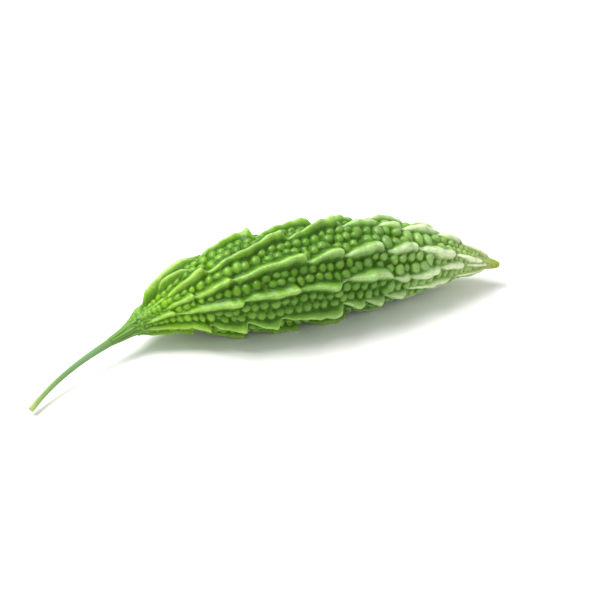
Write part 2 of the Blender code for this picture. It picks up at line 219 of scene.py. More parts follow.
RIDGE_REST_FRONT = [
    (16, 38, 42, 152, 156, 5.4),
    (42, 66, 70, 153, 156, 6.9),
    (70, 94, 98, 153, 156, 6.9),
    (98, 121, 125, 153, 156, 7.0),
    (125, 144, 148, 152, 155, 5.2),
    (148, 164, 168, 153, 156, 4.3),
    (168, 184, 188, 152, 154, 3.0),
    (188, 200, 205, 152, 152, 1.6),
]
RIDGE_REST_BACK = [
    (20, 54, 58, 206, 203, 6.4),
    (58, 80, 84, 206, 203, 6.7),
    (84, 107, 111, 205, 203, 6.7),
    (111, 130, 134, 206, 203, 6.6),
    (134, 153, 157, 206, 203, 4.7),
    (157, 178, 182, 207, 204, 3.4),
    (182, 199, 205, 206, 206, 1.7),
]

# Two short bars with a blunt start, which lie between the ridges near the neck
BLUNT_BARS = [(22.5, 50, 55, -23, -17, 7.0), (33, 46, 50, -9, 4, 5.2)]

# Fins of the two ridges on the far side, which are drawn at random (mm and degrees)
HIDDEN_ANGLES = (244, 286)
HIDDEN_SEED = 11
HIDDEN_FIRST = (14.0, 24.0)
HIDDEN_LAST_START = 190.0
HIDDEN_LAST_PEAK = 199.0
HIDDEN_LONG = (20.0, 32.0)
HIDDEN_SHORT = (11.0, 22.0)
HIDDEN_SHORT_FROM = 115.0
HIDDEN_DROP = 4.0
HIDDEN_GAP = (3.0, 5.0)
HIDDEN_SLANT = 5.0
HIDDEN_HEIGHT_AT = (30, 60, 115, 140, 180, 199)
HIDDEN_HEIGHT = (5.2, 6.5, 6.4, 5.0, 3.6, 1.7)
HIDDEN_HEIGHT_VARIES = (0.94, 1.04)

# Rise of a fin over its length, as shares of length and height. Past the middle of the
# fruit the fins turn into rounded bars, and between two fins the crest dips to a saddle.
FIN_PROFILE = [(0.0, 0.0), (0.15, 0.42), (0.5, 0.69), (0.8, 0.84), (0.96, 1.03), (1.0, 0.0)]
BAR_PROFILE = [(0.0, 0.0), (0.18, 0.6), (0.4, 0.95), (0.6, 1.0), (0.86, 0.75), (1.0, 0.0)]
BLUNT_PROFILE = [(0.0, 0.0), (0.03, 1.0), (0.2, 1.06), (0.7, 0.92), (0.9, 0.5), (1.0, 0.0)]
BAR_FROM = 102.0
BAR_RAMP = 30.0
FIN_SADDLE = 0.2
BAR_SADDLE = 0.12

# Low ribs that carry the crests on over the neck and the tip: heights, and the lengths
# over which they grow and fade (mm)
NECK_RIB_AT_CUT = 0.1
NECK_RIB = 0.45
NECK_RIB_GROWS = 6.0
NECK_RIB_STOPS = 2.0
TIP_RIB = 0.6
TIP_RIB_FADES = 4.0

# Notches in the crests (share of the height, fine and coarse mm for a radian), and slow
# turns from side to side (degrees, mm for a radian); windows are in samples of a crest
CREST_NOTCH = (0.11, 1.35, 5.3)
CREST_WANDER = ((0.7, 2.4), (0.8, 4.1))
CREST_TURN_FROM = 1.0
CREST_STEP = 0.25
HEIGHT_WINDOW = 5
ANGLE_WINDOW = 13
WAVE_SHIFT = 1.7


def hidden_ridge(angle, rng):
    """Fins of a ridge on the far side: shorter and lower towards the blossom end."""
    fins = []
    start = rng.uniform(*HIDDEN_FIRST)
    while start < HIDDEN_LAST_START:
        size = rng.uniform(*(HIDDEN_LONG if start < HIDDEN_SHORT_FROM else HIDDEN_SHORT))
        peak = min(start + size, HIDDEN_LAST_PEAK)
        height = np.interp(peak, HIDDEN_HEIGHT_AT, HIDDEN_HEIGHT)
        slant = rng.uniform(-HIDDEN_SLANT, HIDDEN_SLANT)
        height *= rng.uniform(*HIDDEN_HEIGHT_VARIES)
        fins.append((start, peak, peak + HIDDEN_DROP, angle - slant, angle + slant, height))
        start = peak + rng.uniform(*HIDDEN_GAP)
    return fins


def smoothed(values, reach):
    """Running average over a window of the given number of samples, twice."""
    kernel = np.ones(reach) / reach
    for _ in range(2):
        padded = np.pad(values, reach // 2, mode="edge")
        values = np.convolve(padded, kernel, mode="valid")[:len(values)]
    return values


def fin_heights(start, peak, drop, top):
    """Lengths and heights along one fin: a slow rise and a sharp drop, or a rounded bar."""
    bar = float(np.clip((peak - BAR_FROM) / BAR_RAMP, 0.0, 1.0))
    low = (FIN_SADDLE + (BAR_SADDLE - FIN_SADDLE) * bar) * top
    fin_at = [start + share * (peak - start) / FIN_PROFILE[-2][0] for share, _ in FIN_PROFILE[:-1]]
    bar_at = [start + share * (drop - start) for share, _ in BAR_PROFILE[:-1]]
    at = [a + bar * (b - a) for a, b in zip(fin_at, bar_at)] + [drop]
    rise = [a + bar * (b - a) for (_, a), (_, b) in zip(FIN_PROFILE, BAR_PROFILE)]
    return at, [low + share * (top - low) for share in rise]


def crest_curves(fins, length, wave):
    """Angle (degrees) and height of one ridge's crest, sampled along the fruit."""
    along = np.arange(0.0, length + CREST_STEP, CREST_STEP)
    at_height = [0.0, NECK_RIB_GROWS, fins[0][0] - NECK_RIB_STOPS]
    height = [NECK_RIB_AT_CUT, NECK_RIB, NECK_RIB]
    at_angle = []
    angle = []
    for start, peak, drop, angle_start, angle_peak, top in fins:
        at, tall = fin_heights(start, peak, drop, top)
        at_height += at
        height += tall
        at_angle += [start + CREST_TURN_FROM, peak]
        angle += [angle_start, angle_peak]
    at_height += [length - TIP_RIB_FADES, length]
    height += [TIP_RIB, 0.5 * TIP_RIB]
    heights = smoothed(np.interp(along, at_height, height), HEIGHT_WINDOW)
    notch, fine, coarse = CREST_NOTCH
    heights *= 1.0 + notch * np.sin(along / fine + 3.0 * wave) * np.sin(along / coarse + wave)
    angles = smoothed(np.interp(along, at_angle, angle), ANGLE_WINDOW)
    for turn, reach in CREST_WANDER:
        angles += turn * np.sin(along / reach + wave)
    return along, angles, heights


def blunt_curves(bar, length):
    """The same for a short bar that starts with a blunt end."""
    along = np.arange(0.0, length + CREST_STEP, CREST_STEP)
    start, peak, drop, angle_start, angle_peak, top = bar
    at = [start + share * (drop - start) for share, _ in BLUNT_PROFILE]
    height = [share * top for _, share in BLUNT_PROFILE]
    heights = smoothed(np.interp(along, at, height), HEIGHT_WINDOW)
    return along, np.interp(along, [start, peak], [angle_start, angle_peak]), heights


ridge_rng = np.random.default_rng(HIDDEN_SEED)
ridges = [RIDGE_BACK, RIDGE_TOP, RIDGE_FRONT, RIDGE_LOW, RIDGE_UNDER, RIDGE_REST_FRONT]
ridges += [RIDGE_REST_BACK] + [hidden_ridge(angle, ridge_rng) for angle in HIDDEN_ANGLES]
ridge_tables = [
    crest_curves(fins, fruit_line.length, WAVE_SHIFT * number) for number, fins in enumerate(ridges)]
blunt_tables = [blunt_curves(bar, fruit_line.length) for bar in BLUNT_BARS]

# Warts: rows of large beads fill each furrow, half a pitch out of step with the next row,
# and small filler beads close the gaps. All sizes are millimetres or shares of a bead.
BEAD_SEED = 23
BEAD_FROM = 17.0
BEAD_TO = 197.0
BEAD_FIRST_WITHIN = 3.0
BEAD_PITCH = 4.5
BEAD_PITCH_VARIES = (0.94, 1.06)
BEAD_OFF_PLACE = 0.5
BEAD_OFF_ROW = 0.1
BEAD_ROW_PITCH = 5.5
BEAD_ROW_ROUNDING = 0.55
BEAD_MARGIN = 0.9
BEAD_CLEARS_FIN = 0.2
BEAD_RADIUS = 3.05
BEAD_LENGTH_VARIES = (0.68, 0.94)
BEAD_FILL = 0.6
BEAD_FILL_VARIES = (0.75, 1.08)
BEAD_WIDTH_LIMITS = (0.9, 1.35)
BEAD_HEIGHT = 2.4
BEAD_HEIGHT_VARIES = (0.9, 1.1)
BEAD_HEIGHT_BY_LENGTH = (0.4, 0.25)
BEAD_LEAST_ROOM = 2.0
BEAD_SCALE_AT = (19, 42, 120, 148, 166, 180, 197)
BEAD_SCALE = (0.5, 0.95, 1.0, 1.15, 1.25, 0.85, 0.45)
FURROWS_ORDERED_AT = 100.0
FILLER_TRIES = 30000
FILLER_PAST_ENDS = (3.0, 2.0)
FILLER_RADIUS = (0.5, 1.6)
FILLER_APART = 0.74
FILLER_CLEARS_FIN = 0.3
FILLER_HEIGHT = 0.9


def crest_at(table, where):
    """Angle in radians and height of a crest at lengths along the fruit."""
    along, angles, heights = table
    return np.radians(np.interp(where, along, angles)), np.interp(where, along, heights)


def sideways(angle, centre, radius):
    """Distance over the skin from a crest, in millimetres."""
    turn = (angle - centre + np.pi) % (2.0 * np.pi) - np.pi
    return turn * radius


def end_fade(along):
    """Beads are small at the neck, largest before the blossom end, and shrink to the nub."""
    return np.interp(along, BEAD_SCALE_AT, BEAD_SCALE)


def furrow_room(line, left, right, spot):
    """Start and width (radians) of the strip between two crests that beads can fill."""
    radius = float(line.radius(spot))
    first, left_height = crest_at(left, spot)
    last, right_height = crest_at(right, spot)
    small = min(1.0, radius / FULL_RADIUS)
    start = (BEAD_MARGIN + BEAD_CLEARS_FIN * left_height) * small / radius
    end = (BEAD_MARGIN + BEAD_CLEARS_FIN * right_height) * small / radius
    return first + start, (last - first) % (2.0 * np.pi) - start - end


def main_beads(line, tables, rng):
    """Rows of large beads that fill each furrow: along, angle, length, height, width."""
    beads = []
    narrow, broad = BEAD_WIDTH_LIMITS
    squat, steep = BEAD_HEIGHT_BY_LENGTH
    order = sorted(tables, key=lambda table: crest_at(table, FURROWS_ORDERED_AT)[0] % (2.0 * np.pi))
    for number, left in enumerate(order):
        right = order[(number + 1) % len(order)]
        place = BEAD_FROM + rng.uniform(0.0, BEAD_FIRST_WITHIN)
        while place < BEAD_TO:
            scale = float(end_fade(place))
            room = furrow_room(line, left, right, place)[1] * float(line.radius(place))
            rows = max(1, int(room / (BEAD_ROW_PITCH * scale) + BEAD_ROW_ROUNDING))
            for row in range(rows):
                off = rng.uniform(-BEAD_OFF_PLACE, BEAD_OFF_PLACE)
                spot = place + ((row % 2) * 0.5 * BEAD_PITCH + off) * scale
                first, width = furrow_room(line, left, right, spot)
                off = rng.uniform(-BEAD_OFF_ROW, BEAD_OFF_ROW)
                angle = first + width * ((row + 0.5) / rows + off / rows)
                room = width * float(line.radius(spot)) / rows
                long = BEAD_RADIUS * scale * rng.uniform(*BEAD_LENGTH_VARIES)
                wide = BEAD_FILL * room * rng.uniform(*BEAD_FILL_VARIES)
                wide = np.clip(wide, narrow * long, broad * long)
                tall = BEAD_HEIGHT * scale * rng.uniform(*BEAD_HEIGHT_VARIES) * (squat + steep * long)
                if room * rows > BEAD_LEAST_ROOM * scale and spot < BEAD_TO:
                    beads.append((spot, float(angle), long, tall, wide))
            place += BEAD_PITCH * scale * rng.uniform(*BEAD_PITCH_VARIES)
    return beads


def filler_beads(line, tables, beads, rng):
    """Small beads wherever a gap between the large ones and the crests has room."""
    count = len(beads)
    store = np.zeros((count + FILLER_TRIES, 5))
    store[:count] = np.array(beads)
    before, after = FILLER_PAST_ENDS
    for _ in range(FILLER_TRIES):
        spot = rng.uniform(BEAD_FROM - before, BEAD_TO + after)
        angle = rng.uniform(0.0, 2.0 * np.pi)
        size = rng.uniform(*FILLER_RADIUS) * float(end_fade(spot))**0.5
        radius = float(line.radius(spot))
        near = store[:count]
        across = sideways(angle, near[:, 1], radius)
        apart = np.hypot((near[:, 0] - spot) / (near[:, 2] + size), across / (near[:, 4] + size))
        if np.any(apart < FILLER_APART):
            continue
        clear = True
        for table in tables:
            crest, height = crest_at(table, spot)
            if abs(float(sideways(angle, crest, radius))) < FILLER_CLEARS_FIN * height:
                clear = False
        if clear:
            store[count] = (spot, angle, size, size * FILLER_HEIGHT, size)
            count += 1
    return store[:count]


bead_rng = np.random.default_rng(BEAD_SEED)
large_beads = main_beads(fruit_line, ridge_tables, bead_rng)
beads = filler_beads(fruit_line, ridge_tables, large_beads, bead_rng)

# Height of ridges and warts over the spindle, worked out on a grid twice as fine as the
# mesh. A ridge is a keel with a narrow foot, sharper on a fin than on a bar.
FRUIT_RINGS = 450
FRUIT_AROUND = 220
OVERSAMPLE = 2
KEEL_FOOT = 1.15
KEEL_SPREAD = 0.38
BAR_WIDER = 0.1
BLUNT_BAR = 0.2
CREST_ROUND = 0.3
BAR_ROUND = 0.6
FIN_FLANK = 0.95
BAR_FLANK = 0.6
EDGE_FROM = 0.3
EDGE_RISE = 0.5
KEEL_LEAST_SCALE = 0.3
BEAD_ROUND = 0.55
BEAD_LIFT = 0.4
BEAD_LIFT_LIMIT = 1.2
NO_TINT = 0.5


def keel_relief(line, tables, along, angle, blunt):
    """Height of the ridges over the skin, and how near each point is to a crest (0 to 1)."""
    radius = line.radius(along)[:, None]
    scale = np.clip(radius / FULL_RADIUS, KEEL_LEAST_SCALE, 1.0)
    bar = np.clip((along[:, None] - BAR_FROM) / BAR_RAMP, blunt, 1.0)
    power = FIN_FLANK + (BAR_FLANK - FIN_FLANK) * bar
    relief = np.zeros((len(along), len(angle)))
    edge = np.zeros((len(along), len(angle)))
    for table in tables:
        crest, height = crest_at(table, along)
        half = (KEEL_FOOT + KEEL_SPREAD * height[:, None] + BAR_WIDER * bar) * scale
        blunt_top = CREST_ROUND + BAR_ROUND * bar
        away = np.hypot(sideways(angle[None, :], crest[:, None], radius), blunt_top) - blunt_top
        near = np.clip(1.0 - away / half, 0.0, 1.0)
        relief = np.maximum(relief, height[:, None] * near**power)
        tall_enough = np.clip((height[:, None] - EDGE_FROM) / EDGE_RISE, 0.0, 1.0)
        edge = np.maximum(edge, near * tall_enough)
    return relief, edge


def bead_relief(line, beads, along, angle, keel, rng):
    """Height of the domes over the skin, lifted a little on a ridge's foot, and their tints."""
    relief = np.zeros((len(along), len(angle)))
    tint = np.full((len(along), len(angle)), NO_TINT)
    radius = line.radius(along)
    for spot, turn, long, tall, wide in beads:
        shade = rng.uniform(0.0, 1.0)
        rows = np.nonzero(np.abs(along - spot) < long)[0]
        if not len(rows):
            continue
        across = sideways(angle[None, :], turn, radius[rows][:, None])
        down = (along[rows] - spot)[:, None]
        share = (down / long)**2 + (across / wide)**2
        foot = keel[np.argmin(np.abs(along - spot)), np.argmin(np.abs(sideways(angle, turn, 1.0)))]
        top = tall + BEAD_LIFT * min(foot, BEAD_LIFT_LIMIT)
        dome = top * np.clip(1.0 - share, 0.0, 1.0)**BEAD_ROUND
        higher = dome > relief[rows]
        relief[rows] = np.where(higher, dome, relief[rows])
        tint[rows] = np.where(higher, shade, tint[rows])
    return relief, tint


def middles(count):
    """Middles of equal steps from 0 to 1."""
    return (np.arange(count) + 0.5) / count


def coarser(values):
    """Mean over blocks of the fine grid, so that thin crests don't break into steps."""
    rings = len(values) // OVERSAMPLE
    return values.reshape(rings, OVERSAMPLE, -1, OVERSAMPLE).mean(axis=(1, 3))


fine_along = middles(FRUIT_RINGS * OVERSAMPLE) * fruit_line.length
fine_angle = middles(FRUIT_AROUND * OVERSAMPLE) * 2.0 * np.pi
fine_keel, fine_edge = keel_relief(fruit_line, ridge_tables, fine_along, fine_angle, 0.0)
blunt_keel, blunt_edge = keel_relief(fruit_line, blunt_tables, fine_along, fine_angle, BLUNT_BAR)
fine_keel = np.maximum(fine_keel, blunt_keel)
fine_edge = np.maximum(fine_edge, blunt_edge)
fine_beads, fine_tint = bead_relief(fruit_line, beads, fine_along, fine_angle, fine_keel, bead_rng)
along = fine_along.reshape(-1, OVERSAMPLE).mean(axis=1)
angle = fine_angle.reshape(-1, OVERSAMPLE).mean(axis=1)
along[0] = 0.0
along[-1] = fruit_line.length
keel = coarser(fine_keel)
relief = coarser(np.maximum(fine_keel, fine_beads))

# Skin: a closed grid round the spindle, shut by a flat cap at the neck and a rounded nub.
# The fins lean towards the blossom end, and what reaches the table is pressed flat.
NUB_ROUND = 1.5
FIN_LEAN = 0.42
FRAME_SHIFT = np.array([24.3, 8.1, -0.55])


def outward(line, along, angle):
    """Directions along the line and, for each ring and angle, straight out from it."""
    run, side, up = line.axes(along)
    out = np.cos(angle)[None, :, None] * up[:, None, :] + np.sin(angle)[None, :, None] * side[:, None, :]
    return run[:, None, :], out


def grid_mesh(name, grid, pole):
    """Quads between rings, a flat cap at the first ring, a cap or a point at the last."""
    rings, around = grid.shape[:2]
    if pole:
        rings -= 1
    ends = np.stack([grid[0].mean(axis=0), grid[-1].mean(axis=0)])
    points = np.concatenate([grid[:rings].reshape(-1, 3), ends])
    first = rings * around
    step = np.arange(around)
    beside = (step + 1) % around
    faces = []
    for ring in range(rings - 1):
        low = ring * around
        high = low + around
        faces.append(np.stack([low + step, low + beside, high + beside, high + step], 1))
    faces = [tuple(face) for face in np.concatenate(faces).tolist()]
    last = (rings - 1) * around
    faces += [(first, b, a) for a, b in zip(step.tolist(), beside.tolist())]
    faces += [(first + 1, last + a, last + b) for a, b in zip(step.tolist(), beside.tolist())]
    mesh = bpy.data.meshes.new(name)
    mesh.from_pydata(points.tolist(), [], faces)
    mesh.update()
    mesh.polygons.foreach_set("use_smooth", [True] * len(mesh.polygons))
    return mesh


def paint(mesh, name, grid, pole):
    """Stores one number for each point of the grid as a named attribute of the mesh."""
    rows = grid[:-1] if pole else grid
    values = np.concatenate([rows.ravel(), [rows[0].mean(), rows[-1].mean()]])
    attribute = mesh.attributes.new(name, "FLOAT", "POINT")
    attribute.data.foreach_set("value", values.astype(np.float32))


run, out = outward(fruit_line, along, angle)
nub = np.clip((along - (fruit_line.length - NUB_ROUND)) / NUB_ROUND, 0.0, 1.0)
round_off = np.sqrt(1.0 - nub**2)[:, None]
size = ((fruit_line.radius(along)[:, None] + relief) * round_off)[:, :, None]
lean = (FIN_LEAN * keel * round_off)[:, :, None]
skin = (fruit_line.centre(along)[:, None, :] + size * out + lean * run + FRAME_SHIFT) * MM
skin[:, :, 2] = np.maximum(skin[:, :, 2], 0.0)
fruit_mesh = grid_mesh("fruit_skin", skin, True)
fruit = add_object("fruit_skin", fruit_mesh)

# Marks: numbers stored on the skin that its colours and its gloss follow
KEEL_FULL = 7.0
FURROW_TOP = 1.3
FURROW_AT = (22.0, 40.0, 178.0, 190.0)
FURROW_SHARE = (0.0, 1.0, 1.0, 0.0)
PROUD_REACH = 4


def blurred(values, reach):
    """Running average over the closed grid, in both directions."""
    total = np.zeros_like(values)
    for shift in range(-reach, reach + 1):
        total += np.roll(values, shift, axis=1)
    padded = np.pad(total, ((reach, reach), (0, 0)), mode="edge")
    result = np.zeros_like(values)
    for shift in range(2 * reach + 1):
        result += padded[shift:shift + len(values)]
    return result / (2 * reach + 1)**2


furrowed = np.interp(along, FURROW_AT, FURROW_SHARE)[:, None]
skin_marks = {
    # Height over the spindle, height of the ridges alone, and of the two blunt bars
    "relief": relief,
    "ridge": keel / KEEL_FULL,
    "blunt": coarser(blunt_keel),
    # Nearness to a crest, and each wart's own tint
    "edge": coarser(fine_edge),
    "tint": coarser(np.where(fine_keel > fine_beads, NO_TINT, fine_tint)),
    # Floors of the furrows, where shade is painted, but not at the neck and the tip
    "furrow": np.clip(FURROW_TOP - relief, 0.0, 1.0) * furrowed,
    # Place from the neck (0) to the nub (1)
    "along": np.repeat(along[:, None] / fruit_line.length, FRUIT_AROUND, axis=1),
    # How far a point stands proud of the skin around it, below 0 in a crease, where shade is painted
    "proud": relief - blurred(relief, PROUD_REACH),
}
for name, values in skin_marks.items():
    paint(fruit_mesh, name, values, True)

# Fresh gourd skin: a thin waxy cuticle over wet green flesh. It shows soft white
# highlights on each wart, with painted highlight on the wart tops, glows a little where it
# is thin, with a painted glow on tall fins, has painted shade in creases and furrow floors,
# and pales to cream on the crests, partly its own tone and partly painted highlight, and
# towards the blossom end. Its patterns' cells are in mm.
CREST_SPOT_CELL = 4.17
CLOUD_CELL = 9.09
MOTTLE_CELL = 1.538
DIMPLE_CELL = 2.38
PORE_CELL = 0.714
SMOOTH = {"interpolation_type": "SMOOTHSTEP"}
COLOURS = {"data_type": "RGBA"}

# Sockets of a colour mix: the share, the colour under, the colour over, and the result
SHARE = 0
UNDER = 6
OVER = 7
MIXED = 2


def linear(code):
    """An sRGB hex colour as linear red, green, blue and a full alpha."""
    channels = [int(code[i:i + 2], 16) / 255.0 for i in (0, 2, 4)]
    return [c / 12.92 if c <= 0.04045 else ((c + 0.055) / 1.055)**2.4 for c in channels] + [1.0]


def add_node(tree, kind, settings=None, values=None, links=None, stops=()):
    """Adds a node with its settings, input values, the sockets that feed it, and its ramp."""
    node = tree.nodes.new(kind)
    for name, value in (settings or {}).items():
        setattr(node, name, value)
    for name, value in (values or {}).items():
        node.inputs[name].default_value = value
    for name, socket in (links or {}).items():
        tree.links.new(socket, node.inputs[name])
    for number, (place, colour) in enumerate(stops):
        elements = node.color_ramp.elements
        element = elements[number] if number < 2 else elements.new(place)
        element.position = place
        element.color = linear(colour)
    return node


skin_look = bpy.data.materials.new("waxy_gourd_skin")
skin_look.use_nodes = True
tree = skin_look.node_tree
tree.nodes.clear()
point = add_node(tree, "ShaderNodeTexCoord").outputs["Object"]
mark = {}
for name in skin_marks:
    mark[name] = add_node(tree, "ShaderNodeAttribute", {"attribute_name": name}).outputs["Fac"]

# Furrows and warts from the neck to the nub: blue-green, yellow-green, green, pale, olive
ground = add_node(tree, "ShaderNodeValToRGB", links={"Fac": mark["along"]}, stops=[
    (0.0, "648a48"), (0.07, "659240"), (0.15, "74a81c"), (0.34, "4d8010"), (0.6, "477814"),
    (0.78, "6a9c38"), (0.9, "a4c078"), (0.955, "bccb8c"), (0.985, "a9b04e"), (1.0, "98a038"),
])

# Pale crests, partly their own tone and partly painted highlight, and the painted highlight on wart
# tops, from the neck to the nub
crest_and_highlight_ground = add_node(tree, "ShaderNodeValToRGB", links={"Fac": mark["along"]}, stops=[
    (0.0, "9fbb80"), (0.12, "b3d070"), (0.3, "a8c974"), (0.52, "a8c884"), (0.68, "c0d6a2"),
    (0.82, "dceac2"), (0.94, "e8f0cc"), (1.0, "c8d088"),
])

# Faces of the fins, deep green at the foot, partly painted shade, and paler up to the rim
face_ground = add_node(tree, "ShaderNodeValToRGB", links={"Fac": mark["along"]}, stops=[
    (0.0, "5f8a44"), (0.14, "649c18"), (0.3, "528a12"), (0.5, "4c7f18"), (0.66, "5f8c3a"),
    (0.78, "98bb78"), (0.92, "bccf96"), (0.965, "c2cf94"), (0.985, "a6ae4a"), (1.0, "98a038"),
])
rim_ground = add_node(tree, "ShaderNodeValToRGB", links={"Fac": mark["along"]}, stops=[
    (0.0, "6f9650"), (0.14, "80ab2c"), (0.3, "6b9c26"), (0.5, "679730"), (0.64, "86ad5e"),
    (0.76, "bcd29a"), (0.9, "d8e4ba"), (0.97, "d4dfae"), (1.0, "b0b85c"),
])
rim_share = add_node(
    tree, "ShaderNodeMapRange", SMOOTH,
    values={"From Min": 0.2, "From Max": 0.8, "To Min": 0.0, "To Max": 1.0},
    links={"Value": mark["edge"]})
face_mix = add_node(
    tree, "ShaderNodeMix", COLOURS, links={
        SHARE: rim_share.outputs["Result"],
        UNDER: face_ground.outputs["Color"],
        OVER: rim_ground.outputs["Color"],
    })

# Warts: each has a tint of its own, and their tops are painted a little paler as a painted highlight
tint_share = add_node(
    tree, "ShaderNodeMapRange",
    values={"From Min": 0.0, "From Max": 1.0, "To Min": 0.0, "To Max": 0.45},
    links={"Value": mark["tint"]})
tint_mix = add_node(
    tree, "ShaderNodeMix", COLOURS, values={OVER: linear("78a22e")},
    links={SHARE: tint_share.outputs["Result"], UNDER: ground.outputs["Color"]})
# Painted highlight: the higher a wart stands, the paler its top is painted
painted_highlight_share = add_node(
    tree, "ShaderNodeMapRange", SMOOTH,
    values={"From Min": 1.2, "From Max": 3.4, "To Min": 0.0, "To Max": 0.2},
    links={"Value": mark["relief"]})
painted_highlight_mix = add_node(
    tree, "ShaderNodeMix", COLOURS, links={
        SHARE: painted_highlight_share.outputs["Result"],
        UNDER: tint_mix.outputs[MIXED],
        OVER: crest_and_highlight_ground.outputs["Color"],
    })

# Ridges take the colour of their faces, and the two blunt bars are painted darker as painted shade
on_ridge = add_node(
    tree, "ShaderNodeMapRange", SMOOTH,
    values={"From Min": 0.1, "From Max": 0.35, "To Min": 0.0, "To Max": 0.85},
    links={"Value": mark["ridge"]})
ridge_mix = add_node(
    tree, "ShaderNodeMix", COLOURS, links={
        SHARE: on_ridge.outputs["Result"],
        UNDER: painted_highlight_mix.outputs[MIXED],
        OVER: face_mix.outputs[MIXED],
    })
# Painted shade: the faces of the two blunt bars are darkened
blunt_painted_shade_share = add_node(
    tree, "ShaderNodeMapRange", SMOOTH,
    values={"From Min": 0.3, "From Max": 1.5, "To Min": 0.0, "To Max": 0.75},
    links={"Value": mark["blunt"]})
blunt_painted_shade_mix = add_node(
    tree, "ShaderNodeMix", COLOURS, values={OVER: linear("4c7a16")},
    links={SHARE: blunt_painted_shade_share.outputs["Result"], UNDER: ridge_mix.outputs[MIXED]})

# Painted shade: creases between the warts and floors of the furrows are painted deep green
crease = add_node(
    tree, "ShaderNodeMapRange", SMOOTH,
    values={"From Min": 0.4, "From Max": -0.75, "To Min": 0.0, "To Max": 0.88},
    links={"Value": mark["proud"]})
furrow_floor_shade = add_node(
    tree, "ShaderNodeMapRange", SMOOTH,
    values={"From Min": 0.0, "From Max": 1.0, "To Min": 0.0, "To Max": 0.65},
    links={"Value": mark["furrow"]})
# Painted shade: the darker of the crease and furrow-floor shares sets how much shade is painted
painted_shade_share = add_node(
    tree, "ShaderNodeMath", {"operation": "MAXIMUM"},
    links={0: crease.outputs["Result"], 1: furrow_floor_shade.outputs["Result"]})
painted_shade_colour = add_node(
    tree, "ShaderNodeHueSaturation", values={"Saturation": 1.35, "Value": 0.45},
    links={"Color": face_ground.outputs["Color"]})
painted_shade_mix = add_node(
    tree, "ShaderNodeMix", COLOURS, links={
        SHARE: painted_shade_share.outputs["Value"],
        UNDER: blunt_painted_shade_mix.outputs[MIXED],
        OVER: painted_shade_colour.outputs["Color"],
    })

# Upper parts of tall fins are painted yellower and brighter, a painted glow of light through the thin
# fins
painted_glow_share = add_node(
    tree, "ShaderNodeMapRange", SMOOTH,
    values={"From Min": 0.5, "From Max": 0.92, "To Min": 0.0, "To Max": 0.42},
    links={"Value": mark["ridge"]})
painted_glow_mix = add_node(
    tree, "ShaderNodeMix", COLOURS, values={OVER: linear("a8cc5c")},
    links={SHARE: painted_glow_share.outputs["Result"], UNDER: painted_shade_mix.outputs[MIXED]})

# Crests are pale in spots, partly their own tone and partly painted highlight, less on the neck and most
# towards the blossom end
crest_share = add_node(
    tree, "ShaderNodeMapRange", SMOOTH,
    values={"From Min": 0.74, "From Max": 0.93, "To Min": 0.0, "To Max": 1.0},
    links={"Value": mark["edge"]})
paleness = add_node(
    tree, "ShaderNodeMapRange", SMOOTH,
    values={"From Min": 0.45, "From Max": 0.8, "To Min": 0.62, "To Max": 0.88},
    links={"Value": mark["along"]})
neck_fade = add_node(
    tree, "ShaderNodeMapRange", SMOOTH,
    values={"From Min": 0.06, "From Max": 0.2, "To Min": 0.25, "To Max": 1.0},
    links={"Value": mark["along"]})
crest_spots = add_node(
    tree, "ShaderNodeTexNoise", values={"Scale": 1.0 / (CREST_SPOT_CELL * MM), "Detail": 2.0},
    links={"Vector": point})
crest_spot_share = add_node(
    tree, "ShaderNodeMapRange", values={"From Min": 0.35, "From Max": 0.6, "To Min": 0.45},
    links={"Value": crest_spots.outputs["Fac"], "To Max": neck_fade.outputs["Result"]})
pale_highlit_crest = add_node(
    tree, "ShaderNodeMath", {"operation": "MULTIPLY"},
    links={0: crest_share.outputs["Result"], 1: paleness.outputs["Result"]})
pale_highlight_share = add_node(
    tree, "ShaderNodeMath", {"operation": "MULTIPLY"},
    links={0: pale_highlit_crest.outputs["Value"], 1: crest_spot_share.outputs["Result"]})
# Pale crests: partly the crests' own paler tone, partly painted highlight
pale_highlight_crest_mix = add_node(
    tree, "ShaderNodeMix", COLOURS, links={
        SHARE: pale_highlight_share.outputs["Value"],
        UNDER: painted_glow_mix.outputs[MIXED],
        OVER: crest_and_highlight_ground.outputs["Color"],
    })

# Cloudy patches of 6 to 12 mm and mottling of about 1.5 mm
cloud = add_node(
    tree, "ShaderNodeTexNoise",
    values={"Scale": 1.0 / (CLOUD_CELL * MM), "Detail": 4.0, "Roughness": 0.6},
    links={"Vector": point})
cloud_value = add_node(
    tree, "ShaderNodeMapRange",
    values={"From Min": 0.3, "From Max": 0.7, "To Min": 0.9, "To Max": 1.12},
    links={"Value": cloud.outputs["Fac"]})
mottle = add_node(
    tree, "ShaderNodeTexNoise",
    values={"Scale": 1.0 / (MOTTLE_CELL * MM), "Detail": 3.0, "Roughness": 0.6},
    links={"Vector": point})
mottle_value = add_node(
    tree, "ShaderNodeMapRange",
    values={"From Min": 0.3, "From Max": 0.7, "To Min": 0.86, "To Max": 1.14},
    links={"Value": mottle.outputs["Fac"]})
patches = add_node(
    tree, "ShaderNodeMath", {"operation": "MULTIPLY"},
    links={0: cloud_value.outputs["Result"], 1: mottle_value.outputs["Result"]})
skin_colour = add_node(
    tree, "ShaderNodeHueSaturation", values={"Saturation": 1.04},
    links={"Value": patches.outputs["Value"], "Color": pale_highlight_crest_mix.outputs[MIXED]})

